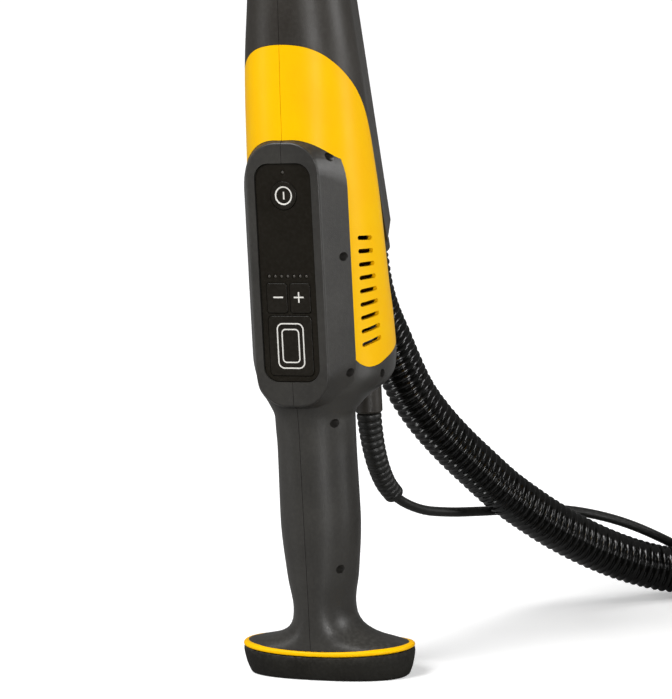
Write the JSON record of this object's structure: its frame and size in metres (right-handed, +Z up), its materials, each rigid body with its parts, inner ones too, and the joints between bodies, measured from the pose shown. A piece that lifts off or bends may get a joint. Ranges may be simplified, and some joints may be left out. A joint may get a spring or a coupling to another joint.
{
  "type": "long-reach drywall sander",
  "caption": "Electric long-reach drywall sander standing on its flared grip end, with keypad, vented housing, dust hose, mains lead and a tilting round sanding head.",
  "frame": {"origin": "middle of the end cap's flat underside, where the tool stands", "axes": "+Z up the grip and neck to the sanding head, -Y towards the side with the control panel, +X to the user's right when facing the panel"},
  "size_m": [0.701, 0.6183, 1.1147],
  "materials": {
    "black_plastic": "satin, finely textured",
    "yellow_plastic": "semi-gloss",
    "black_rubber": "matt",
    "hose_black": "gloss, ribbed",
    "panel_gloss": "gloss film",
    "lamp_clear": "clear",
    "circuit_board": "solder mask",
    "controller_case": "matt",
    "aluminium": "satin",
    "cast_grey": "cast, painted",
    "steel": "zinc plated",
    "bristle": "nylon bristles",
    "pad_foam": "closed foam",
    "abrasive": "abrasive mesh"
  },
  "bodies": {
    "handle": {"case_screw_1": "steel", "case_screw_2": "steel", "case_screw_3": "steel", "case_screw_4": "steel", "case_screw_5": "steel", "case_screw_6": "steel", "clevis_block": "cast_grey", "control_board": "circuit_board", "control_panel": "panel_gloss", "dust_hose": "hose_black", "dust_hose_coil": "hose_black", "dust_tube": "black_plastic", "end_band": "yellow_plastic", "end_cap": "black_rubber", "grip_shell_left": "black_plastic", "grip_shell_right": "black_plastic", "heat_sink_left": "aluminium", "heat_sink_right": "aluminium", "hose_end_cuff": "black_plastic", "lead_inlet": "black_plastic", "lead_relief": "black_rubber", "mains_lead": "black_rubber", "mains_lead_coil": "black_rubber", "mains_plug": "black_rubber", "neck_collar": "black_plastic", "neck_tube": "aluminium", "roll_pin": "steel", "side_cover_left": "yellow_plastic", "side_cover_right": "yellow_plastic", "speed_controller": "controller_case", "speed_lamps": "lamp_clear", "status_lamp": "lamp_clear", "upper_shell_left": "black_plastic", "upper_shell_right": "black_plastic"},
    "power_key": {"power_key": "panel_gloss"},
    "minus_key": {"minus_key": "panel_gloss"},
    "plus_key": {"plus_key": "panel_gloss"},
    "start_key": {"start_key": "panel_gloss"},
    "swivel": {"hose_swivel": "black_plastic"},
    "yoke": {"yoke": "black_plastic"},
    "head": {"motor_housing": "yellow_plastic", "motor": "steel", "dust_shroud": "black_plastic", "tilt_bolt_right": "steel", "tilt_bolt_left": "steel"},
    "brush": {"brush_ring": "bristle"},
    "pad": {"backing_pad": "pad_foam", "abrasive_disc": "abrasive", "drive_shaft": "steel"}
  },
  "joints": [
    {"name": "power_key_press", "type": "slide", "parent": "handle", "child": "power_key", "axis": [0, 1, 0], "range_m": [0, 0.001], "stiffness_N_per_m": 900, "springref_m": -0.0008},
    {"name": "minus_key_press", "type": "slide", "parent": "handle", "child": "minus_key", "axis": [0, 1, 0], "range_m": [0, 0.001], "stiffness_N_per_m": 900, "springref_m": -0.0008},
    {"name": "plus_key_press", "type": "slide", "parent": "handle", "child": "plus_key", "axis": [0, 1, 0], "range_m": [0, 0.001], "stiffness_N_per_m": 900, "springref_m": -0.0008},
    {"name": "start_key_press", "type": "slide", "parent": "handle", "child": "start_key", "axis": [0, 1, 0], "range_m": [0, 0.001], "stiffness_N_per_m": 900, "springref_m": -0.0008},
    {"name": "hose_swivel_turn", "type": "hinge", "parent": "handle", "child": "swivel", "pos_m": [0, 0.0847, 0.301], "axis": [0, -0.2402, 0.9707], "continuous": true},
    {"name": "yoke_roll", "type": "hinge", "parent": "handle", "child": "yoke", "pos_m": [0, 0.01, 0.93], "axis": [0, 1, 0], "range_deg": [-25, 25]},
    {"name": "head_tilt", "type": "hinge", "parent": "yoke", "child": "head", "pos_m": [0, 0.01, 1.06], "axis": [1, 0, 0], "range_deg": [-90, 90]},
    {"name": "brush_float", "type": "slide", "parent": "head", "child": "brush", "axis": [0, 0, -1], "range_m": [0, 0.003], "stiffness_N_per_m": 1500, "springref_m": -0.002},
    {"name": "pad_spin", "type": "hinge", "parent": "head", "child": "pad", "pos_m": [0, 0.01, 1.06], "axis": [0, 0, 1], "continuous": true}
  ]
}
